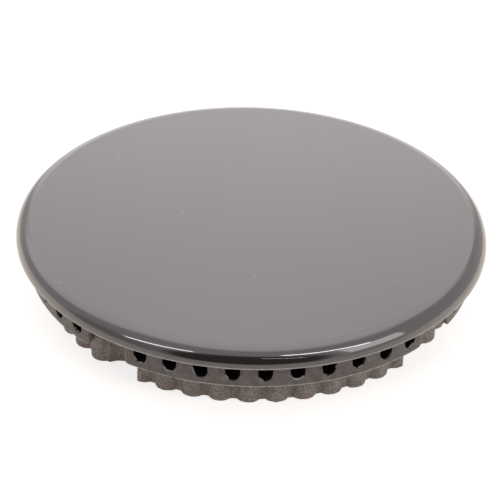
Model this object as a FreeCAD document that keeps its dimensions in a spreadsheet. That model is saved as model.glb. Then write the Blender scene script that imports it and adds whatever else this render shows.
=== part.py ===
import FreeCAD, Part
import math
import os
import Sketcher

# Gas burner top: a flat enamelled lid that rests on a cast ring. The ring has a smooth band with flame ports
# cast open at the top, a fluted skirt below and inside the band, and two U-shaped bays where the spark
# electrode and the flame sensor stand.
# Millimetres and degrees, +Z up. The origin is on the axis, at the level of the skirt's foot. The bays are on
# the -Y and +X sides, so a short row of ports lies between them and a long row goes round the rest.

SIZES = {
    # lid
    "cap_diameter": 100.0,
    "cap_thickness": 3.8,
    "cap_shoulder_radius": 3.3,
    "cap_edge_chamfer": 0.3,
    # low ring under the lid that centres it in the chamber
    "centring_height": 1.5,
    "centring_wall": 2.5,
    "centring_clearance": 0.4,
    # smooth band with the ports, set in from the lid's rim
    "ring_height": 13.0,
    "cap_overhang": 2.65,
    "band_height": 6.1,
    "band_edge_chamfer": 0.25,
    # fluted skirt, set in from the band: round lobes on a plain drum, their radius a share of the pitch
    "band_overhang": 4.0,
    "flute_depth": 1.35,
    "lobe_count": 46,
    "lobe_share": 0.465,
    # register bore inside the drum, and a ledge from it out to the wider chamber above
    "skirt_wall": 7.0,
    "ledge_width": 1.5,
    "ledge_rise": 0.1,
    # bays, slots through band and skirt whose round inner ends are centred on the lobes' crests
    "bay_width": 8.8,
    "bay_lip_radius": 1.2,
    # flame ports, slots with round bottoms
    "port_width": 3.05,
    "port_depth": 4.9,
    "port_pitch": 7.8,
    "short_row_ports": 10,
    "long_row_ports": 33,
    # how far a cutting outline runs past what it cuts
    "cut_margin": 2.0,
}

# Radii from the lid's rim inwards, and levels from the foot up.
RIM = "Sizes.cap_diameter / 2"
BAND = f"({RIM} - Sizes.cap_overhang)"
CREST = f"({BAND} - Sizes.band_overhang)"
DRUM = f"({CREST} - Sizes.flute_depth)"
REGISTER = f"({DRUM} - Sizes.skirt_wall)"
CHAMBER = f"({REGISTER} + Sizes.ledge_width)"
SHOULDER = "(Sizes.ring_height - Sizes.band_height)"
LEDGE = f"({SHOULDER} + Sizes.ledge_rise)"
SEAT = "Sizes.ring_height"
TOP = f"({SEAT} + Sizes.cap_thickness)"

# Turns from -Y towards +X, in degrees: the first bay, the angle on to the second, and the middle of each row.
FIRST_BAY = 0
BAY_SPREAD = 90
SHORT_ROW_MIDDLE = FIRST_BAY + BAY_SPREAD / 2
LONG_ROW_MIDDLE = SHORT_ROW_MIDDLE + 180

# Names for the ends of a sketch's lines and arcs, and for its own axes and origin.
START, END, CENTRE = 1, 2, 3
H_AXIS, V_AXIS = -1, -2
ORIGIN = (-1, 1)

X_WAY = FreeCAD.Vector(1, 0, 0)
Y_WAY = FreeCAD.Vector(0, 1, 0)
Z_WAY = FreeCAD.Vector(0, 0, 1)

# Two lengths closer than this are the same when edges are picked.
SAME = 1e-3


def make_sizes(doc):
    """Put the driving dimensions in a sheet, one aliased cell each."""
    sheet = doc.addObject("Spreadsheet::Sheet", "Sizes")
    for row, (alias, value) in enumerate(SIZES.items(), start=1):
        sheet.set(f"A{row}", alias)
        sheet.set(f"B{row}", str(value))
        sheet.setAlias(f"B{row}", alias)
    doc.recompute()


def number(obj, expression):
    """Value of an expression as a plain number."""
    value = obj.evalExpression(str(expression))
    return float(getattr(value, "Value", value))


def origin_feature(body, role):
    return next(item for item in body.Origin.OriginFeatures if item.Role == role)


def make_body(doc, label):
    body = doc.addObject("PartDesign::Body", label)
    body.Label = label
    return body


def make_sketch(body, name, plane, turn=None, about=Y_WAY):
    """Sketch on one of the body's own planes, turned about a sketch axis by an expression if one is given."""
    sketch = body.newObject("Sketcher::SketchObject", name)
    sketch.AttachmentSupport = [(origin_feature(body, plane), "")]
    sketch.MapMode = "FlatFace"
    if turn:
        rotation = FreeCAD.Rotation(about, number(sketch, turn))
        sketch.AttachmentOffset = FreeCAD.Placement(FreeCAD.Vector(), rotation)
        sketch.setExpression("AttachmentOffset.Rotation.Angle", turn)
    return sketch


def make_plan_sketch(body, name, turn):
    """Sketch seen from above, whose Y axis points outwards at this turn from -Y towards +X."""
    return make_sketch(body, name, "XY_Plane", turn=f"180 + {turn}", about=Z_WAY)


def relate(sketch, kind, *where):
    sketch.addConstraint(Sketcher.Constraint(kind, *where))


def tie(sketch, kind, *where, to):
    """Add a dimension to the sketch and drive it by an expression."""
    index = sketch.addConstraint(Sketcher.Constraint(kind, *where, number(sketch, to)))
    sketch.setExpression(f"Constraints[{index}]", to)


def place(sketch, point, x=None, y=None):
    """Tie a point to its distances from the sketch's origin, where 0 puts it on the axis itself."""
    for kind, axis, distance in (("DistanceX", V_AXIS, x), ("DistanceY", H_AXIS, y)):
        if distance == 0:
            relate(sketch, "PointOnObject", *point, axis)
        elif distance is not None:
            tie(sketch, kind, *ORIGIN, *point, to=distance)


def draw_polygon(sketch, corners):
    """Closed outline of straight lines through corners, each a pair of expressions or 0."""
    points = [FreeCAD.Vector(number(sketch, x), number(sketch, y)) for x, y in corners]
    count = len(points)
    for i in range(count):
        sketch.addGeometry(Part.LineSegment(points[i], points[(i + 1) % count]))
    for i in range(count):
        relate(sketch, "Coincident", i, END, (i + 1) % count, START)
    for i, (x, y) in enumerate(corners):
        place(sketch, (i, START), x, y)


def arc(centre, radius, start_angle, end_angle):
    circle = Part.Circle(centre, Z_WAY, radius)
    return Part.ArcOfCircle(circle, start_angle, end_angle)


def revolve(body, name, sketch):
    feature = body.newObject("PartDesign::Revolution", name)
    feature.Profile = sketch
    feature.ReferenceAxis = (sketch, ["V_Axis"])
    feature.Angle = 360
    return feature


def pad(body, name, sketch, length):
    feature = body.newObject("PartDesign::Pad", name)
    feature.Profile = sketch
    feature.setExpression("Length", length)
    return feature


def pocket(body, name, sketch):
    """Cut a sketch through all, along its normal."""
    feature = body.newObject("PartDesign::Pocket", name)
    feature.Profile = sketch
    feature.Reversed = True
    feature.Type = "ThroughAll"
    return feature


def polar_pattern(body, name, original, count, angle):
    """Repeat a feature round the body's axis: a count of copies over an angle, both expressions."""
    feature = body.newObject("PartDesign::PolarPattern", name)
    feature.Originals = [original]
    feature.Axis = (origin_feature(body, "Z_Axis"), [""])
    feature.setExpression("Occurrences", count)
    feature.setExpression("Angle", angle)
    body.Tip = feature
    return feature


def break_edges(doc, body, name, kind, size, wanted):
    """Fillet or chamfer those edges of the body's latest solid for which wanted(edge) is true."""
    doc.recompute()
    base = body.Tip
    names = [f"Edge{i}" for i, edge in enumerate(base.Shape.Edges, start=1) if wanted(edge)]
    feature = body.newObject(f"PartDesign::{kind}", name)
    feature.Base = (base, names)
    feature.setExpression("Radius" if kind == "Fillet" else "Size", size)
    doc.recompute()
    return feature


def is_circle_at(edge, radius, height):
    """True for an edge that goes round the axis at this radius and height."""
    if not isinstance(edge.Curve, Part.Circle):
        return False
    centre = edge.Curve.Center
    return abs(edge.Curve.Radius - radius) < SAME and (centre - Z_WAY * height).Length < SAME


def is_upright_at(edge, radius):
    """True for a straight upright edge at this distance from the axis."""
    if not isinstance(edge.Curve, Part.Line) or len(edge.Vertexes) < 2:
        return False
    low, high = (vertex.Point for vertex in edge.Vertexes)
    distance = math.hypot(low.x, low.y)
    return math.hypot(high.x - low.x, high.y - low.y) < SAME and abs(distance - radius) < SAME


def make_cap(doc):
    """Lid: a solid disc with a round shoulder, a crisp lower edge and a low centring ring underneath."""
    body = make_body(doc, "burner_cap")
    foot = f"{SEAT} - Sizes.centring_height"
    outer = f"{CHAMBER} - Sizes.centring_clearance"
    inner = f"{outer} - Sizes.centring_wall"
    section = make_sketch(body, "cap_section", "XZ_Plane")
    draw_polygon(section, [
        (0, SEAT), (inner, SEAT), (inner, foot), (outer, foot),
        (outer, SEAT), (RIM, SEAT), (RIM, TOP), (0, TOP),
    ])
    revolve(body, "cap_disc", section)
    rim_radius = number(section, RIM)
    top_level = number(section, TOP)
    seat_level = number(section, SEAT)
    break_edges(doc, body, "cap_shoulder", "Fillet", "Sizes.cap_shoulder_radius",
                lambda edge: is_circle_at(edge, rim_radius, top_level))
    break_edges(doc, body, "cap_lower_edge", "Chamfer", "Sizes.cap_edge_chamfer",
                lambda edge: is_circle_at(edge, rim_radius, seat_level))
    return body


def draw_lobe(sketch):
    """Circle of one lobe on the sketch's Y axis, reaching out to the crest."""
    lobe_radius = f"Sizes.lobe_share * 2 * {CREST} * sin(180 / Sizes.lobe_count)"
    lobe_y = f"{CREST} - {lobe_radius}"
    centre = Y_WAY * number(sketch, lobe_y)
    lobe = sketch.addGeometry(Part.Circle(centre, Z_WAY, number(sketch, lobe_radius)))
    tie(sketch, "Radius", lobe, to=lobe_radius)
    place(sketch, (lobe, CENTRE), 0, lobe_y)


def draw_slot(sketch, width, centre_y, open_y):
    """Slot along the sketch's Y axis: a half-round lower end, straight sides, and open at its upper end."""
    half_width = f"{width} / 2"
    radius = number(sketch, half_width)
    centre = Y_WAY * number(sketch, centre_y)
    high = number(sketch, open_y)
    left_top = FreeCAD.Vector(-radius, high)
    right_top = FreeCAD.Vector(radius, high)

    left = sketch.addGeometry(Part.LineSegment(left_top, centre - X_WAY * radius))
    bottom = sketch.addGeometry(arc(centre, radius, math.pi, 2 * math.pi))
    right = sketch.addGeometry(Part.LineSegment(centre + X_WAY * radius, right_top))
    top = sketch.addGeometry(Part.LineSegment(right_top, left_top))

    relate(sketch, "Tangent", left, END, bottom, START)
    relate(sketch, "Tangent", bottom, END, right, START)
    relate(sketch, "Coincident", right, END, top, START)
    relate(sketch, "Coincident", top, END, left, START)
    relate(sketch, "Vertical", left)
    relate(sketch, "Vertical", right)
    relate(sketch, "Horizontal", top)
    place(sketch, (bottom, CENTRE), 0, centre_y)
    tie(sketch, "Radius", bottom, to=half_width)
    place(sketch, (top, START), y=open_y)


def cut_ports(body, name, count, middle):
    """One row of ports: a slot at the row's first place, repeated at the port pitch."""
    span = f"({count} - 1) * Sizes.port_pitch"
    slot = make_sketch(body, f"{name}_slot", "XZ_Plane", turn=f"{middle} - {span} / 2")
    centre_z = f"{SEAT} - Sizes.port_depth + Sizes.port_width / 2"
    draw_slot(slot, "Sizes.port_width", centre_z, f"{SEAT} + Sizes.cut_margin")
    first = pocket(body, f"{name}_first", slot)
    return polar_pattern(body, name, first, count, span)


def make_ring(doc):
    """Cast ring: turned section, lobes round the skirt, bays with rounded lips and two rows of ports."""
    body = make_body(doc, "flame_ring")
    section = make_sketch(body, "ring_section", "XZ_Plane")
    draw_polygon(section, [
        (REGISTER, 0), (DRUM, 0), (DRUM, SHOULDER), (BAND, SHOULDER),
        (BAND, SEAT), (CHAMBER, SEAT), (CHAMBER, LEDGE), (REGISTER, LEDGE),
    ])
    revolve(body, "ring_blank", section)

    lobe = make_plan_sketch(body, "lobe_circle", SHORT_ROW_MIDDLE)
    draw_lobe(lobe)
    first_lobe = pad(body, "first_lobe", lobe, SHOULDER)
    polar_pattern(body, "lobes", first_lobe, "Sizes.lobe_count", "360")

    band_radius = number(section, BAND)
    shoulder_level = number(section, SHOULDER)
    bay = make_plan_sketch(body, "bay_slot", FIRST_BAY)
    draw_slot(bay, "Sizes.bay_width", CREST, f"{BAND} + Sizes.cut_margin")
    first_bay = pocket(body, "first_bay", bay)
    polar_pattern(body, "bays", first_bay, "2", str(BAY_SPREAD))
    break_edges(doc, body, "bay_lips", "Fillet", "Sizes.bay_lip_radius",
                lambda edge: is_upright_at(edge, band_radius))
    break_edges(doc, body, "band_lower_edge", "Chamfer", "Sizes.band_edge_chamfer",
                lambda edge: is_circle_at(edge, band_radius, shoulder_level))

    cut_ports(body, "short_row", "Sizes.short_row_ports", SHORT_ROW_MIDDLE)
    cut_ports(body, "long_row", "Sizes.long_row_ports", LONG_ROW_MIDDLE)
    return body


def check(doc, bodies):
    """Stop if any object failed or a piece is not one valid solid."""
    for item in doc.Objects:
        if "Invalid" in item.State or "Error" in item.State:
            raise RuntimeError(f"{item.Label} failed: {item.State}")
    for body in bodies:
        shape = body.Shape
        if shape.isNull() or not shape.isValid() or len(shape.Solids) != 1:
            raise RuntimeError(f"{body.Label} is not one valid solid")


def main():
    doc = FreeCAD.newDocument("gas_burner_cap")
    make_sizes(doc)
    bodies = [make_ring(doc), make_cap(doc)]
    doc.recompute()
    check(doc, bodies)
    os.makedirs("parts", exist_ok=True)
    for body in bodies:
        body.Shape.exportStep(f"parts/{body.Label}.step")
        print(f"{body.Label}: {body.Shape.Volume:.1f} mm3")


main()
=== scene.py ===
import math

import bpy
from mathutils import Matrix, Quaternion, Vector


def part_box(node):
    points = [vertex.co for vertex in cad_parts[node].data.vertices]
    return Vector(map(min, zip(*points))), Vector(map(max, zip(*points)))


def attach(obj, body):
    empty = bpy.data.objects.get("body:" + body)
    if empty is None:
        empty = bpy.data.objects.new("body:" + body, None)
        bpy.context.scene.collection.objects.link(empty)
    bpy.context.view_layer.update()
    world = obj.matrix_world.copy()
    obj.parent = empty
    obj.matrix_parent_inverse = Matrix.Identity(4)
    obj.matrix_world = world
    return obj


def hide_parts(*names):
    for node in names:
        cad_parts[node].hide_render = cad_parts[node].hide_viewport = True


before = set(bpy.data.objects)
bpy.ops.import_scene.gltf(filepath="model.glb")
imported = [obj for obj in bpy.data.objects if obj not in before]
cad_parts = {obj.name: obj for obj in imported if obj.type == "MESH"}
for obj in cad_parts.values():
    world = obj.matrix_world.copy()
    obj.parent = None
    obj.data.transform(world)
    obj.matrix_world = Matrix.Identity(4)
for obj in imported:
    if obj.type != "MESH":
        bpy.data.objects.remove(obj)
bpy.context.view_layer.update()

MM = 0.001

# sizes of the real part, as the solids have them
CAP_LOW, CAP_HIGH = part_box("burner_cap")
RING_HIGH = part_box("flame_ring")[1]
RIM = 50.0 * MM
SEAT = RING_HIGH.z
TOP = CAP_HIGH.z
SHOULDER_RADIUS = 3.3 * MM
CENTRING_OUTER = 36.1 * MM
CENTRING_INNER = 33.6 * MM
CENTRING_FOOT = CAP_LOW.z
BAND = 47.35 * MM
BAND_FOOT = 6.9 * MM
CREST = 43.35 * MM
DRUM = 42.0 * MM
LOBE_COUNT = 46
LOBE_RADIUS = 2.75 * MM
REGISTER = 35.0 * MM
CHAMBER = 36.5 * MM
LEDGE = 7.0 * MM
BAY_TURNS = (0, 90)
BAY_RADIUS = 4.4 * MM
LIP_RADIUS = 1.2 * MM
PORT_RADIUS = 1.525 * MM
PORT_PITCH = 7.8
PORT_ROWS = ((45, 10), (225, 33))

# what casting, enamelling and finishing add: eased edges, a bead of enamel under the lid's rim, round lower
# corners at the bays, and ports with oval, uneven bottoms
LID_EASE = 0.3 * MM
CENTRING_EASE = 0.3 * MM
BEAD_WIDTH = 1.4 * MM
BEAD_DROP = 0.15 * MM
BAND_EASE = 0.25 * MM
LOBE_EASE = 0.12 * MM
CORNER_RADIUS = 1.6 * MM
PORT_DEPTH = 4.7 * MM
PORT_STRETCH = 1.3
PORT_WOBBLE = 0.13 * MM

# relief of the rough skirt: its voxels, the share of faces kept, the level below which the foot is flat,
# and the size and depth of each kind of unevenness
VOXEL = 0.2 * MM
KEPT_FACES = 0.4
FLAT_FOOT = 0.06 * MM
RELIEF = (("cast_swell", 2.6 * MM, 0.14 * MM), ("cast_grain", 0.6 * MM, 0.16 * MM))
RELIEF_MIDDLE = 0.55

# how the pieces are made: overrun of cutting tools, height by which the skirt enters the band, points to
# be made one, what counts as no distance, rings round the flat top, and the sides of each round shape
MARGIN = 2.0 * MM
TENON = 0.8 * MM
SEAM = 0.004 * MM
TINY = 0.001 * MM
TOP_RINGS = (0.15 * MM, 0.6 * MM, 8 * MM)
LID_SIDES = 384
BAND_SIDES = 480
DRUM_SIDES = 288
BORE_SIDES = 240
BAY_SIDES = 96
CORNER_SIDES = 64
LOBE_SIDES = 40
PORT_SIDES = 32

# colours of the finishes, a darker and a lighter one where they vary
ENAMEL_BLACK = ((0.015, 0.0115, 0.0115), (0.016, 0.0125, 0.0125))
# pale thin enamel on the lid's lower edge, made paler still as a painted highlight
ENAMEL_THIN_AND_HIGHLIGHT = ((0.3, 0.275, 0.26), (0.68, 0.645, 0.62))
ENAMEL_SPECK = (0.15, 0.14, 0.135)
SATIN_ALLOY = ((0.11, 0.099, 0.093), (0.205, 0.187, 0.177))
# pale line and pale edges of the band: worn metal, made paler still as a painted highlight; the lighter edge
# colour also gives the bright flecks at the port lips
RUBBED_AND_HIGHLIT_LINE = (0.45, 0.42, 0.4)
RUBBED_AND_HIGHLIT_EDGE = ((0.14, 0.124, 0.115), (0.85, 0.81, 0.78))
PORT_LIP = (0.12, 0.106, 0.098)
# painted shade that turns the port walls black a little way in
PAINTED_PORT_SHADE = (0.004, 0.004, 0.004)
CAST_GREY = ((0.155, 0.134, 0.13), (0.6, 0.523, 0.515))
CAST_BROWN = ((0.148, 0.127, 0.108), (0.52, 0.448, 0.386))
WHITE = (1, 1, 1)

# camera of the photo
CAMERA_TURN = 36.8
CAMERA_LIFT = 33.024
CAMERA_ROLL = 1.656
CAMERA_LENS = 154.8
CAMERA_DISTANCE = 456.65 * MM
AIM_RIGHT = -0.205 * MM
AIM_UP = -7.11 * MM

# floor: how far it reaches in front, its gap under the foot, its glow in the picture and in reflections,
# and the distances ahead of the part between which the reflected glow comes up
FLOOR_FRONT = 140 * MM
FLOOR_SIZE = 3.0
FLOOR_GAP = 0.02 * MM
FLOOR_PAPER = (0.68, 0.645, 0.61)
FLOOR_WARM = (1, 0.93, 0.82)
FLOOR_GLOW = 0.72
FLOOR_SHINE = 0.42
SHINE_FROM, SHINE_TO = 100 * MM, 20 * MM

# studio: each soft area has its turn from the camera's side, its lift, its outer and its inner edge, all in
# degrees, and its level
ROOM_LEVEL = 0.66
ROOM_TINT = (1, 0.965, 0.97)
OPENING = (0, 10, 43, 30)
OPENING_SHARE = 0.1
DRAPE = (-62, 5, 32, 12)
DRAPE_SHARE = 0.62
WALLS = (
    (180, 68, 37, 16, 0.7),
    (-138, 50, 32, 18, 0.65),
    (157, 51, 19, 7, 0.6),
    (-166, 38, 8, 3, 0.48),
    (165.5, 38.5, 8, 3, 0.5),
)
SWEEPS = (
    (180, 15, 26, 10, 0.85),
    (180, 40, 7, 1, 0.09),
)
LAMP_DISTANCE = 0.8


def only(piece):
    """Make a piece the one selected, active object."""
    bpy.ops.object.select_all(action="DESELECT")
    piece.select_set(True)
    bpy.context.view_layer.objects.active = piece
    return piece


def named(name):
    """Name the primitive that was just added, and put its place in its mesh."""
    piece = bpy.context.object
    piece.name = name
    piece.data.name = name
    bpy.ops.object.transform_apply(location=True, rotation=True, scale=True)
    return piece


def turned(piece, degrees):
    """Turn a piece round the part's axis, from -Y towards +X."""
    only(piece)
    piece.rotation_euler = (0, 0, math.radians(degrees))
    bpy.ops.object.transform_apply(rotation=True)
    return piece


def copy_at(piece, degrees):
    """A copy of a piece with its own mesh, turned round the part's axis."""
    only(piece)
    bpy.ops.object.duplicate(linked=False)
    return turned(bpy.context.object, degrees)


def joined(pieces):
    """Join pieces into the first one."""
    only(pieces[0])
    for piece in pieces[1:]:
        piece.select_set(True)
    bpy.ops.object.join()
    return pieces[0]


def choose(piece, mode, test):
    """Enter edit mode with just those vertices, edges or faces selected that pass a test."""
    only(piece)
    bpy.ops.object.mode_set(mode="EDIT")
    bpy.ops.mesh.select_mode(type=mode)
    bpy.ops.mesh.select_all(action="DESELECT")
    bpy.ops.object.mode_set(mode="OBJECT")
    mesh = piece.data
    items = {"VERT": mesh.vertices, "EDGE": mesh.edges, "FACE": mesh.polygons}[mode]
    for item in items:
        item.select = test(item)
    bpy.ops.object.mode_set(mode="EDIT")


def done():
    """Leave edit mode."""
    bpy.ops.object.mode_set(mode="OBJECT")


def add_modifier(piece, kind, **settings):
    """Add a modifier with these settings and apply it."""
    only(piece)
    modifier = piece.modifiers.new(kind.lower(), kind)
    for key, value in settings.items():
        setattr(modifier, key, value)
    bpy.ops.object.modifier_apply(modifier=modifier.name)


def cut(piece, tool):
    """Take one shape away from another, and remove the tool."""
    add_modifier(piece, "BOOLEAN", operation="DIFFERENCE", solver="EXACT", object=tool)
    bpy.data.objects.remove(tool)


def reach(point):
    """Distance from the part's axis."""
    return math.hypot(point[0], point[1])


def at(value, wanted, within=0.02 * MM):
    """True for a value close to the wanted one."""
    return abs(value - wanted) < within


def edge_ends(mesh, edge):
    """Places of an edge's two ends."""
    return [mesh.vertices[i].co for i in edge.vertices]


def drum(name, radius, low, high, sides, place=(0, 0)):
    """Upright cylinder between two levels."""
    bpy.ops.object.select_all(action="DESELECT")
    bpy.ops.mesh.primitive_cylinder_add(
        vertices=sides, radius=radius, depth=high - low, location=(*place, (low + high) / 2)
    )
    return named(name)


def make_slot_tool(name, radius, sides, centre, tilt, way, pull, stretch=1, wobble=0, seed=0):
    """Bar of U-shaped section: a half round with its ends drawn out along way, filled and pulled through."""
    bpy.ops.object.select_all(action="DESELECT")
    bpy.ops.mesh.primitive_circle_add(
        vertices=sides, radius=radius, fill_type="NOTHING", location=centre, rotation=(tilt, 0, 0)
    )
    tool = named(name)
    axis = way.normalized()
    choose(tool, "VERT", lambda vertex: (vertex.co - centre).dot(axis) > TINY)
    bpy.ops.mesh.delete(type="VERT")
    bpy.ops.mesh.select_all(action="SELECT")
    bpy.ops.transform.resize(value=[stretch if component else 1 for component in way], center_override=centre)
    if wobble:
        bpy.ops.transform.vertex_random(offset=wobble, seed=seed)
    done()
    ends = sorted(tool.data.vertices, key=lambda vertex: (vertex.co - centre).dot(axis))[-2:]
    tips = {vertex.index for vertex in ends}
    choose(tool, "VERT", lambda vertex: vertex.index in tips)
    bpy.ops.mesh.extrude_region_move(TRANSFORM_OT_translate={"value": way})
    bpy.ops.mesh.select_all(action="SELECT")
    flat = [0 if component else 1 for component in pull]
    bpy.ops.transform.resize(value=flat, center_override=centre)
    bpy.ops.mesh.edge_face_add()
    bpy.ops.mesh.extrude_region_move(TRANSFORM_OT_translate={"value": pull})
    bpy.ops.mesh.select_all(action="SELECT")
    bpy.ops.mesh.normals_make_consistent(inside=False)
    done()
    return tool


def make_bay_tools(low, high):
    """Upright bars that cut the two bays."""
    centre = Vector((0, -CREST, low))
    way = Vector((0, CREST - BAND - MARGIN, 0))
    pull = Vector((0, 0, high - low))
    return joined([
        turned(make_slot_tool("bay_tool", BAY_RADIUS, BAY_SIDES, centre, 0, way, pull), turn)
        for turn in BAY_TURNS
    ])


def in_bay(point, spare):
    """True for a point in the plan of a bay, or closer to it than spare."""
    for turn in BAY_TURNS:
        around = math.radians(turn)
        across = point[0] * math.cos(around) + point[1] * math.sin(around)
        out = point[0] * math.sin(around) - point[1] * math.cos(around)
        inward = max(CREST - out, 0)
        if out > 0 and math.hypot(across, inward) < BAY_RADIUS + spare:
            return True
    return False


# lid: a disc with a round shoulder, a crisp lower edge and the centring ring underneath
def make_lid():
    bpy.ops.object.select_all(action="DESELECT")
    bpy.ops.mesh.primitive_circle_add(vertices=LID_SIDES, radius=RIM, fill_type="NGON", location=(0, 0, SEAT))
    lid = named("enamel_lid")
    choose(lid, "FACE", lambda face: True)
    bpy.ops.mesh.extrude_region_move(TRANSFORM_OT_translate={"value": (0, 0, TOP - SEAT)})
    bpy.ops.mesh.select_all(action="SELECT")
    bpy.ops.mesh.normals_make_consistent(inside=False)
    done()
    mesh = lid.data

    choose(lid, "EDGE", lambda edge: all(at(p.z, TOP) and at(reach(p), RIM) for p in edge_ends(mesh, edge)))
    bpy.ops.mesh.bevel(offset=SHOULDER_RADIUS, segments=20, profile=0.5, affect="EDGES", clamp_overlap=False)
    done()
    choose(lid, "EDGE", lambda edge: all(at(p.z, SEAT) and at(reach(p), RIM) for p in edge_ends(mesh, edge)))
    bpy.ops.mesh.bevel(offset=LID_EASE, segments=4, profile=0.5, affect="EDGES", clamp_overlap=False)
    done()

    choose(lid, "FACE", lambda face: face.normal.z > 0.99 and at(face.center.z, TOP, TINY))
    for width in TOP_RINGS:
        bpy.ops.mesh.inset(thickness=width)
    done()

    choose(lid, "FACE", lambda face: face.normal.z < -0.99 and at(face.center.z, SEAT, TINY))
    bpy.ops.mesh.inset(thickness=BEAD_WIDTH)
    bpy.ops.mesh.inset(thickness=RIM - LID_EASE - BEAD_WIDTH - CENTRING_OUTER)
    bpy.ops.mesh.inset(thickness=CENTRING_OUTER - CENTRING_INNER)
    done()
    bead = RIM - LID_EASE - BEAD_WIDTH / 2
    choose(lid, "FACE", lambda face: face.normal.z < -0.99 and at(reach(face.center), bead, 0.3 * MM))
    bpy.ops.transform.translate(value=(0, 0, -BEAD_DROP))
    done()
    middle = (CENTRING_OUTER + CENTRING_INNER) / 2
    choose(lid, "FACE", lambda face: face.normal.z < -0.99 and at(reach(face.center), middle, 0.5 * MM))
    bpy.ops.mesh.extrude_region_move(TRANSFORM_OT_translate={"value": (0, 0, CENTRING_FOOT - SEAT)})
    done()
    choose(lid, "EDGE", lambda edge: all(at(p.z, CENTRING_FOOT) for p in edge_ends(mesh, edge))
           and at(reach(edge_ends(mesh, edge)[0]), reach(edge_ends(mesh, edge)[1])))
    bpy.ops.mesh.bevel(offset=CENTRING_EASE, segments=3, profile=0.5, affect="EDGES")
    done()
    only(lid)
    bpy.ops.object.shade_smooth_by_angle(angle=math.radians(40))
    return lid


def make_corner_tools():
    """Bars with a hollow side that round the band's lower corners at the bays."""
    tools = []
    middle = BAY_RADIUS + CORNER_RADIUS
    rise = BAND_FOOT + CORNER_RADIUS
    start, end = CREST + 0.1 * MM, BAND + MARGIN
    thick = 3 * MM
    length = 40 * MM
    for turn in BAY_TURNS:
        for side in (-1, 1):
            bpy.ops.object.select_all(action="DESELECT")
            bpy.ops.mesh.primitive_cube_add(
                size=1, location=(side * (middle - thick / 2), -(start + end) / 2, rise - thick / 2),
                scale=(thick, end - start, thick)
            )
            tool = named("corner_tool")
            bpy.ops.object.select_all(action="DESELECT")
            bpy.ops.mesh.primitive_cylinder_add(
                vertices=CORNER_SIDES, radius=CORNER_RADIUS, depth=length,
                location=(side * middle, -CREST, rise), rotation=(math.pi / 2, 0, 0)
            )
            cut(tool, named("corner_round"))
            tools.append(turned(tool, turn))
    return joined(tools)


def make_port_tools():
    """Bars that cut all the ports, each a little different, as cast ones are."""
    level = SEAT - PORT_DEPTH + PORT_RADIUS * PORT_STRETCH
    start = CHAMBER - MARGIN
    centre = Vector((0, -start, level))
    way = Vector((0, 0, SEAT + MARGIN - level))
    pull = Vector((0, start - BAND - MARGIN, 0))
    tools = []
    for middle, count in PORT_ROWS:
        for i in range(count):
            turn = middle + (i - (count - 1) / 2) * PORT_PITCH
            tool = make_slot_tool("port_tool", PORT_RADIUS, PORT_SIDES, centre, math.pi / 2, way, pull,
                                  PORT_STRETCH, PORT_WOBBLE, len(tools))
            tools.append(turned(tool, turn))
    return joined(tools)


# band: smooth ring with round lips at the bays and an eased lower edge, slotted by the ports
def make_band():
    band = drum("port_band", BAND, BAND_FOOT, SEAT, BAND_SIDES)
    cut(band, drum("chamber_tool", CHAMBER, BAND_FOOT - MARGIN, SEAT + MARGIN, BORE_SIDES))
    cut(band, make_bay_tools(BAND_FOOT - MARGIN, SEAT + MARGIN))
    mesh = band.data

    def is_lip(edge):
        low, high = edge_ends(mesh, edge)
        upright = at(low.x, high.x) and at(low.y, high.y)
        side = min(abs(low.x), abs(low.y))
        return upright and reach(low) > BAND - 0.1 * MM and at(side, BAY_RADIUS, 0.15 * MM)

    # the band and the bay's wall meet at a little less than a right angle
    setback = LIP_RADIUS / math.tan((math.pi / 2 - math.asin(BAY_RADIUS / BAND)) / 2)
    choose(band, "EDGE", is_lip)
    bpy.ops.mesh.bevel(offset=setback, segments=8, profile=0.5, affect="EDGES", clamp_overlap=False)
    done()

    def is_lower(edge):
        return all(at(p.z, BAND_FOOT) and reach(p) > CREST + MARGIN for p in edge_ends(mesh, edge))

    choose(band, "EDGE", is_lower)
    bpy.ops.mesh.bevel(offset=BAND_EASE, segments=3, profile=0.5, affect="EDGES", clamp_overlap=False)
    done()

    cut(band, make_corner_tools())
    cut(band, make_port_tools())
    choose(band, "VERT", lambda vertex: True)
    bpy.ops.mesh.remove_doubles(threshold=SEAM)
    bpy.ops.mesh.dissolve_degenerate(threshold=SEAM)
    done()
    bpy.ops.object.shade_smooth_by_angle(angle=math.radians(35))
    return band


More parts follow.
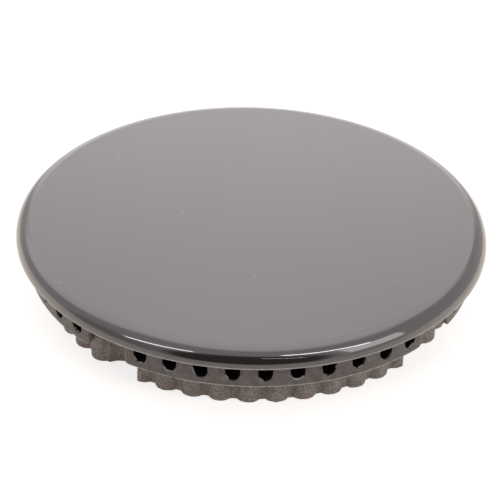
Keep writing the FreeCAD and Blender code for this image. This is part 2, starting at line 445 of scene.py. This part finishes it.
# skirt: lobes on a drum, grown together and roughened as a casting is
def make_skirt():
    top = LEDGE + TENON
    skirt = drum("cast_skirt", DRUM, 0, top, DRUM_SIDES)
    cut(skirt, drum("register_tool", REGISTER, -MARGIN, top + MARGIN, BORE_SIDES))
    cut(skirt, drum("ledge_tool", CHAMBER, LEDGE, top + MARGIN, BORE_SIDES))
    cut(skirt, make_bay_tools(-MARGIN, top + MARGIN))

    lobe = drum("lobe", LOBE_RADIUS, 0, top, LOBE_SIDES, (0, LOBE_RADIUS - CREST))
    mesh = lobe.data
    choose(lobe, "EDGE", lambda edge: all(at(p.z, 0) for p in edge_ends(mesh, edge)))
    bpy.ops.mesh.bevel(offset=LOBE_EASE, segments=4, profile=0.5, affect="EDGES")
    done()
    first = PORT_ROWS[0][0]
    lobes = []
    for i in range(LOBE_COUNT):
        one = copy_at(lobe, first + i * 360 / LOBE_COUNT)
        if any(in_bay(vertex.co, 0) for vertex in one.data.vertices):
            cut(one, make_bay_tools(-MARGIN, top + MARGIN))
        if one.data.polygons:
            lobes.append(one)
        else:
            bpy.data.objects.remove(one)
    bpy.data.objects.remove(lobe)
    joined([skirt, *lobes])

    add_modifier(skirt, "REMESH", mode="VOXEL", voxel_size=VOXEL, adaptivity=0)
    add_modifier(skirt, "SMOOTH", factor=0.5, iterations=2)
    for name, size, depth in RELIEF:
        texture = bpy.data.textures.new(name, "CLOUDS")
        texture.noise_scale = size
        texture.noise_depth = 2
        add_modifier(skirt, "DISPLACE", texture=texture, texture_coords="LOCAL", direction="NORMAL",
                     mid_level=RELIEF_MIDDLE, strength=depth)
    add_modifier(skirt, "DECIMATE", decimate_type="COLLAPSE", ratio=KEPT_FACES)
    choose(skirt, "VERT", lambda vertex: vertex.co.z < FLAT_FOOT)
    bpy.ops.transform.resize(value=(1, 1, 0), center_override=(0, 0, 0))
    done()
    only(skirt)
    bpy.ops.object.shade_smooth()
    return skirt


def shader(name):
    """New node material: its tree, its Principled shader and its Object coordinates."""
    material = bpy.data.materials.new(name)
    material.use_nodes = True
    tree = material.node_tree
    principled = tree.nodes["Principled BSDF"]
    place = tree.nodes.new("ShaderNodeTexCoord").outputs["Object"]
    return material, tree, principled, place


def noise(tree, place, scale, detail=3.0, roughness=0.55):
    """Noise texture, its strength as a socket."""
    node = tree.nodes.new("ShaderNodeTexNoise")
    node.inputs["Scale"].default_value = scale
    node.inputs["Detail"].default_value = detail
    node.inputs["Roughness"].default_value = roughness
    tree.links.new(place, node.inputs["Vector"])
    return node.outputs["Fac"]


def span(tree, value, from_low, from_high, to_low, to_high, soft=False):
    """Carry a socket's value from one range to another, held at its ends."""
    node = tree.nodes.new("ShaderNodeMapRange")
    if soft:
        node.interpolation_type = "SMOOTHSTEP"
    node.inputs["From Min"].default_value = from_low
    node.inputs["From Max"].default_value = from_high
    node.inputs["To Min"].default_value = to_low
    node.inputs["To Max"].default_value = to_high
    tree.links.new(value, node.inputs["Value"])
    return node.outputs["Result"]


def from_axis(tree, place):
    """Distance from the part's axis, as a socket."""
    across = tree.nodes.new("ShaderNodeVectorMath")
    across.operation = "MULTIPLY"
    across.inputs[1].default_value = (1, 1, 0)
    tree.links.new(place, across.inputs[0])
    length = tree.nodes.new("ShaderNodeVectorMath")
    length.operation = "LENGTH"
    tree.links.new(across.outputs[0], length.inputs[0])
    return length.outputs["Value"]


def sums(tree, kind, one, other):
    """Add two sockets, multiply them or take the larger."""
    node = tree.nodes.new("ShaderNodeMath")
    node.operation = kind
    tree.links.new(one, node.inputs[0])
    tree.links.new(other, node.inputs[1])
    return node.outputs[0]


def blend(tree, factor, one, other):
    """Mix two colours, each a socket or a plain colour, by a factor socket."""
    node = tree.nodes.new("ShaderNodeMix")
    node.data_type = "RGBA"
    tree.links.new(factor, node.inputs["Factor"])
    for key, colour in (("A", one), ("B", other)):
        socket = next(s for s in node.inputs if s.name == key and s.type == "RGBA")
        if isinstance(colour, tuple):
            socket.default_value = (*colour, 1)
        else:
            tree.links.new(colour, socket)
    return next(s for s in node.outputs if s.type == "RGBA")


def bump(tree, principled, height, distance, strength):
    """Fine relief from a height socket."""
    node = tree.nodes.new("ShaderNodeBump")
    node.inputs["Strength"].default_value = strength
    node.inputs["Distance"].default_value = distance
    tree.links.new(height, node.inputs["Height"])
    tree.links.new(node.outputs["Normal"], principled.inputs["Normal"])


def make_enamel(name, dark, light):
    """Gloss enamel, a clear glaze over the colour, with a few pale specks."""
    material, tree, principled, place = shader(name)
    speck = tree.nodes.new("ShaderNodeTexVoronoi")
    speck.voronoi_dimensions = "2D"
    speck.inputs["Scale"].default_value = 42
    tree.links.new(place, speck.inputs["Vector"])
    mask = span(tree, speck.outputs["Distance"], 0.012, 0.007, 0, 1)
    cloud = span(tree, noise(tree, place, 1500, 3.0, 0.65), 0.35, 0.65, 0, 1)
    colour = blend(tree, mask, blend(tree, cloud, dark, light), ENAMEL_SPECK)
    tree.links.new(colour, principled.inputs["Base Color"])
    patches = noise(tree, place, 60)
    tree.links.new(span(tree, patches, 0.3, 0.7, 0.08, 0.13), principled.inputs["Roughness"])
    principled.inputs["IOR"].default_value = 2.0
    principled.inputs["Specular Tint"].default_value = (1.0, 0.95, 0.96, 1)
    principled.inputs["Coat Weight"].default_value = 1.0
    principled.inputs["Coat IOR"].default_value = 1.65
    principled.inputs["Coat Roughness"].default_value = 0.03
    bump(tree, principled, noise(tree, place, 700, 2.0), 0.02 * MM, 0.3)
    return material


def make_satin():
    """Smooth cast alloy of the band, with a thin pale line along its lower edge: worn metal, made paler still
    as a painted highlight.
    """
    material, tree, principled, place = shader("satin_alloy")
    patches = noise(tree, place, 700, 5.0, 0.65)
    colour = blend(tree, span(tree, patches, 0.3, 0.7, 0, 1), *SATIN_ALLOY)
    axes = tree.nodes.new("ShaderNodeSeparateXYZ")
    tree.links.new(place, axes.inputs[0])
    low = span(tree, axes.outputs["Z"], BAND_FOOT + 0.42 * MM, BAND_FOOT + 0.3 * MM, 0, 1)
    outer = span(tree, from_axis(tree, place), BAND - 0.2 * MM, BAND - 0.1 * MM, 0, 1)
    line_patches = span(tree, noise(tree, place, 900, 4.0, 0.7), 0.38, 0.6, 0.15, 1)
    line = sums(tree, "MULTIPLY", sums(tree, "MULTIPLY", low, outer), line_patches)
    tree.links.new(blend(tree, line, colour, RUBBED_AND_HIGHLIT_LINE), principled.inputs["Base Color"])
    tree.links.new(span(tree, noise(tree, place, 900), 0.3, 0.7, 0.36, 0.46), principled.inputs["Roughness"])
    principled.inputs["Metallic"].default_value = 0.4
    bump(tree, principled, noise(tree, place, 2600, 3.0), 0.05 * MM, 0.5)
    return material


def make_worn_and_highlit():
    """Worn metal on the band's edges, in patches, made paler still as a painted highlight."""
    material, tree, principled, place = shader("rubbed_and_highlit_edge")
    patches = noise(tree, place, 1400, 3.0, 0.65)
    colour = blend(tree, span(tree, patches, 0.3, 0.6, 0, 1), *RUBBED_AND_HIGHLIT_EDGE)
    tree.links.new(colour, principled.inputs["Base Color"])
    tree.links.new(span(tree, patches, 0.3, 0.7, 0.5, 0.35), principled.inputs["Roughness"])
    principled.inputs["Metallic"].default_value = 0.1
    bump(tree, principled, noise(tree, place, 2600, 3.0), 0.03 * MM, 0.3)
    return material


def make_shaded_port_walls():
    """Alloy in the ports, darkened to black a little way in as painted shade, with bright flecks on the lip
    that are partly worn metal and partly painted highlight.
    """
    material, tree, principled, place = shader("port_wall_shade")
    patches = noise(tree, place, 900, 4.0)
    reached = from_axis(tree, place)
    # painted shade: darker deeper into the port, black from 0.6 mm in; bright flecks near the mouth are worn
    # metal and painted highlight
    deep = span(tree, reached, BAND - 0.1 * MM, BAND - 0.6 * MM, 0, 1, soft=True)
    fleck_noise = span(tree, noise(tree, place, 520, 2.0), 0.53, 0.58, 0, 1)
    fleck_and_glint = sums(tree, "MULTIPLY", fleck_noise, span(tree, reached, BAND - 0.55 * MM, BAND - 0.45 * MM, 0, 1))
    shaded_deep = blend(tree, deep, PORT_LIP, PAINTED_PORT_SHADE)
    colour = blend(tree, fleck_and_glint, shaded_deep, RUBBED_AND_HIGHLIT_EDGE[1])
    tree.links.new(colour, principled.inputs["Base Color"])
    tree.links.new(span(tree, patches, 0.3, 0.7, 0.75, 0.9), principled.inputs["Roughness"])
    principled.inputs["Specular IOR Level"].default_value = 0.2
    bump(tree, principled, noise(tree, place, 2200, 3.0), 0.08 * MM, 0.6)
    return material


def make_cast():
    """Rough as-cast alloy of the skirt, a little browner near the foot."""
    material, tree, principled, place = shader("rough_cast_alloy")
    patches = noise(tree, place, 2200, 4.0, 0.75)
    grey = blend(tree, span(tree, patches, 0.32, 0.68, 0, 1), *CAST_GREY)
    brown = blend(tree, span(tree, patches, 0.32, 0.68, 0, 1), *CAST_BROWN)
    axes = tree.nodes.new("ShaderNodeSeparateXYZ")
    tree.links.new(place, axes.inputs[0])
    low = span(tree, axes.outputs["Z"], 3.5 * MM, 0.2 * MM, 0, 0.8)
    tree.links.new(blend(tree, low, grey, brown), principled.inputs["Base Color"])
    tree.links.new(span(tree, noise(tree, place, 1500), 0.3, 0.7, 0.5, 0.72), principled.inputs["Roughness"])
    principled.inputs["Metallic"].default_value = 0.25
    bump(tree, principled, noise(tree, place, 2400, 4.0, 0.7), 0.14 * MM, 0.8)
    return material


def dress(piece, material, node):
    """Give a piece its main finish and put it in place of its node."""
    piece.data.materials.clear()
    piece.data.materials.append(material)
    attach(piece, "root")
    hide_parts(node)


def paint(piece, material, test):
    """Give some faces of a piece another material."""
    piece.data.materials.append(material)
    choose(piece, "FACE", test)
    piece.active_material_index = len(piece.data.materials) - 1
    bpy.ops.object.material_slot_assign()
    done()


def is_port_wall(face):
    centre = face.center
    flat = abs(face.normal.z) > 0.99 and (at(centre.z, SEAT) or at(centre.z, BAND_FOOT))
    return reach(centre) < BAND - 0.2 * MM and not flat and not in_bay(centre, LIP_RADIUS + 0.3 * MM)


# faces that get the pale worn-metal finish with its painted highlight: the band's eased lower edge, and the
# bay lips on the sides towards the ten-port row
def is_rubbed_and_highlit_edge(face):
    centre = face.center
    low = at(centre.z, BAND_FOOT + BAND_EASE / 2, BAND_EASE / 2) and abs(face.normal.z) < 0.99
    between = centre.x > 0 > centre.y and in_bay(centre, LIP_RADIUS)
    lip = between and at(BAND - reach(centre), 0.1 * MM, 0.08 * MM) and abs(face.normal.z) < 0.5
    return reach(centre) > BAND - 0.5 * MM and (low or lip)


def is_bay_wall(face):
    upright = abs(face.normal.z) < 0.5
    return upright and in_bay(face.center, 0.2 * MM) and reach(face.center) < BAND - LIP_RADIUS


# faces of the lid's lower edge, which get the pale thin enamel with its painted highlight
def is_lid_edge(face):
    low = face.center.z < SEAT + LID_EASE
    return low and reach(face.center) > RIM - LID_EASE and abs(face.normal.z) < 0.99


def make_floor():
    """Pale paper under the part, white in the picture and a soft glow in reflections."""
    bpy.ops.object.select_all(action="DESELECT")
    middle = studio_way(180, 0) * (FLOOR_SIZE / 2 - FLOOR_FRONT) - Vector((0, 0, FLOOR_GAP))
    turn = math.radians(CAMERA_TURN)
    bpy.ops.mesh.primitive_plane_add(size=FLOOR_SIZE, location=middle, rotation=(0, 0, turn))
    floor = named("floor")
    material = bpy.data.materials.new("pale_floor")
    material.use_nodes = True
    tree = material.node_tree
    tree.nodes.remove(tree.nodes["Principled BSDF"])
    paper = tree.nodes.new("ShaderNodeBsdfDiffuse")
    paper.inputs["Color"].default_value = (*FLOOR_PAPER, 1)
    glow = tree.nodes.new("ShaderNodeEmission")
    ray = tree.nodes.new("ShaderNodeLightPath")
    tint = blend(tree, ray.outputs["Is Camera Ray"], FLOOR_WARM, WHITE)
    tree.links.new(tint, glow.inputs["Color"])
    seen = span(tree, ray.outputs["Is Camera Ray"], 0, 1, 0, FLOOR_GLOW)
    mirrored = sums(tree, "ADD", ray.outputs["Is Glossy Ray"], ray.outputs["Is Transmission Ray"])
    ahead = tree.nodes.new("ShaderNodeVectorMath")
    ahead.operation = "DOT_PRODUCT"
    ahead.inputs[1].default_value = studio_way(0, 0)
    tree.links.new(tree.nodes.new("ShaderNodeTexCoord").outputs["Object"], ahead.inputs[0])
    shine = span(tree, ahead.outputs["Value"], SHINE_FROM, SHINE_TO, 0, FLOOR_SHINE)
    tree.links.new(sums(tree, "ADD", seen, sums(tree, "MULTIPLY", mirrored, shine)), glow.inputs["Strength"])
    both = tree.nodes.new("ShaderNodeAddShader")
    tree.links.new(paper.outputs[0], both.inputs[0])
    tree.links.new(glow.outputs[0], both.inputs[1])
    tree.links.new(both.outputs[0], tree.nodes["Material Output"].inputs["Surface"])
    floor.data.materials.append(material)


def photo_axes():
    """Camera's backward, rightward and upward directions before its roll."""
    turn = math.radians(CAMERA_TURN)
    lift = math.radians(CAMERA_LIFT)
    back = Vector((math.sin(turn) * math.cos(lift), -math.cos(turn) * math.cos(lift), math.sin(lift)))
    right = Vector((math.cos(turn), math.sin(turn), 0))
    return back, right, back.cross(right)


def make_camera():
    """Camera where the photo was taken from."""
    back, right, up = photo_axes()
    roll = math.radians(CAMERA_ROLL)
    aim = Vector((0, 0, TOP)) + right * AIM_RIGHT + up * AIM_UP
    data = bpy.data.cameras.new("camera")
    data.lens = CAMERA_LENS
    data.sensor_width = 36
    data.clip_start = 0.01
    camera = bpy.data.objects.new("camera", data)
    bpy.context.scene.collection.objects.link(camera)
    side = right * math.cos(roll) + up * math.sin(roll)
    over = up * math.cos(roll) - right * math.sin(roll)
    matrix = Matrix((side, over, back)).transposed().to_4x4()
    matrix.translation = aim + back * CAMERA_DISTANCE
    camera.matrix_world = matrix
    bpy.context.scene.camera = camera


def studio_way(turn, lift):
    """Direction from the part, its turn counted from the camera's side."""
    around = math.radians(CAMERA_TURN + turn)
    rise = math.radians(lift)
    return Vector((math.sin(around) * math.cos(rise), -math.cos(around) * math.cos(rise), math.sin(rise)))


def make_lamp(name, turn, lift, width, height, radiance, roll=0, colour=WHITE):
    """Soft box that faces the part, its width and height as angles and its brightness as seen in a mirror."""
    data = bpy.data.lights.new(name, "AREA")
    data.shape = "RECTANGLE"
    data.size = 2 * LAMP_DISTANCE * math.tan(math.radians(width / 2))
    data.size_y = 2 * LAMP_DISTANCE * math.tan(math.radians(height / 2))
    data.energy = radiance * math.pi * data.size * data.size_y
    data.color = colour
    lamp = bpy.data.objects.new(name, data)
    bpy.context.scene.collection.objects.link(lamp)
    way = studio_way(turn, lift)
    lamp.location = way * LAMP_DISTANCE
    lamp.rotation_mode = "QUATERNION"
    lamp.rotation_quaternion = way.to_track_quat("Z", "Y") @ Quaternion((0, 0, 1), math.radians(roll))


def make_world():
    """Pale room, brighter behind and at the left, with a dark opening where the camera stands."""
    world = bpy.data.worlds.new("studio")
    bpy.context.scene.world = world
    world.use_nodes = True
    tree = world.node_tree
    background = tree.nodes["Background"]
    way = tree.nodes.new("ShaderNodeTexCoord").outputs["Generated"]

    def towards(turn, lift, outer, inner, to_high, to_low=0):
        node = tree.nodes.new("ShaderNodeVectorMath")
        node.operation = "DOT_PRODUCT"
        tree.links.new(way, node.inputs[0])
        node.inputs[1].default_value = studio_way(turn, lift)
        return span(tree, node.outputs["Value"], math.cos(math.radians(outer)), math.cos(math.radians(inner)),
                    to_low, to_high, soft=True)

    def together(kind, areas):
        values = [towards(*area) for area in areas]
        total = values[0]
        for value in values[1:]:
            total = sums(tree, kind, total, value)
        return total

    room = towards(*OPENING, ROOM_LEVEL * OPENING_SHARE, ROOM_LEVEL)
    drape = towards(*DRAPE, DRAPE_SHARE, 1)
    bright = sums(tree, "ADD", together("MAXIMUM", WALLS), together("ADD", SWEEPS))
    studio = sums(tree, "ADD", sums(tree, "MULTIPLY", room, drape), bright)
    ray = tree.nodes.new("ShaderNodeLightPath")
    shown = tree.nodes.new("ShaderNodeMix")
    tree.links.new(ray.outputs["Is Camera Ray"], shown.inputs[0])
    tree.links.new(studio, shown.inputs[2])
    shown.inputs[3].default_value = 1
    tree.links.new(shown.outputs[0], background.inputs["Strength"])
    tint = blend(tree, ray.outputs["Is Camera Ray"], ROOM_TINT, WHITE)
    tree.links.new(tint, background.inputs["Color"])


lid = make_lid()
band = make_band()
skirt = make_skirt()
cast = make_cast()
dress(lid, make_enamel("black_enamel", *ENAMEL_BLACK), "burner_cap")
dress(band, make_satin(), "flame_ring")
dress(skirt, cast, "flame_ring")
# lid's lower edge: thin pale enamel, with a painted highlight in it
paint(lid, make_enamel("thin_enamel_and_highlight", *ENAMEL_THIN_AND_HIGHLIGHT), is_lid_edge)
# port walls: painted shade inside the ports, and bright flecks at the lip
paint(band, make_shaded_port_walls(), is_port_wall)
# band's lower edge and bay lips: worn metal with a painted highlight
paint(band, make_worn_and_highlit(), is_rubbed_and_highlit_edge)
paint(band, cast, is_bay_wall)
make_floor()
make_camera()
make_world()
make_lamp("left_strip", turn=-43.5, lift=34, width=30, height=4, radiance=5.5, roll=35)
make_lamp("right_strip", turn=41, lift=42.5, width=34, height=3.5, radiance=7.0, roll=-28.6)
make_lamp("right_box", turn=57.5, lift=20.5, width=27, height=27, radiance=1.3)
make_lamp("front_line", turn=16.5, lift=29.5, width=19, height=1.2, radiance=4.0, roll=-27,
          colour=(1, 0.75, 0.75))

bpy.context.scene.view_settings.view_transform = "Standard"
